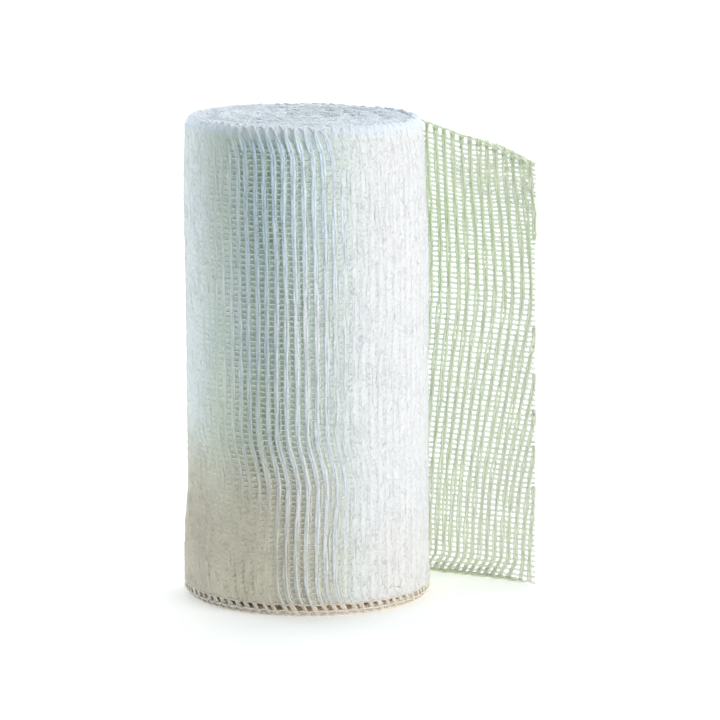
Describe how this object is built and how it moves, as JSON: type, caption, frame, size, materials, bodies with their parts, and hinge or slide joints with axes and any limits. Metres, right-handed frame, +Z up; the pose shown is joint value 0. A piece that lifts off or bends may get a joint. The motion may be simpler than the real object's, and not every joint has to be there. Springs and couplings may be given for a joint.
{
  "type": "gauze bandage roll",
  "caption": "Gauze bandage wound into an upright roll, with ribbed open weave, rounded rims and a sheer loose end that stands out to one side.",
  "frame": {"origin": "middle of the roll's flat base", "axes": "+Z up the winding's axis, -Y towards the viewer, +X to the side where the loose end leaves"},
  "size_m": [0.0742, 0.052, 0.1],
  "materials": {
    "white_gauze": "matt off-white open-weave cotton gauze, wound in many layers",
    "sheer_gauze": "matt single layer of the same gauze, sheer, with a pale green cast"
  },
  "bodies": {
    "root": {"bandage_roll": "white_gauze", "loose_end": "sheer_gauze"}
  },
  "joints": []
}
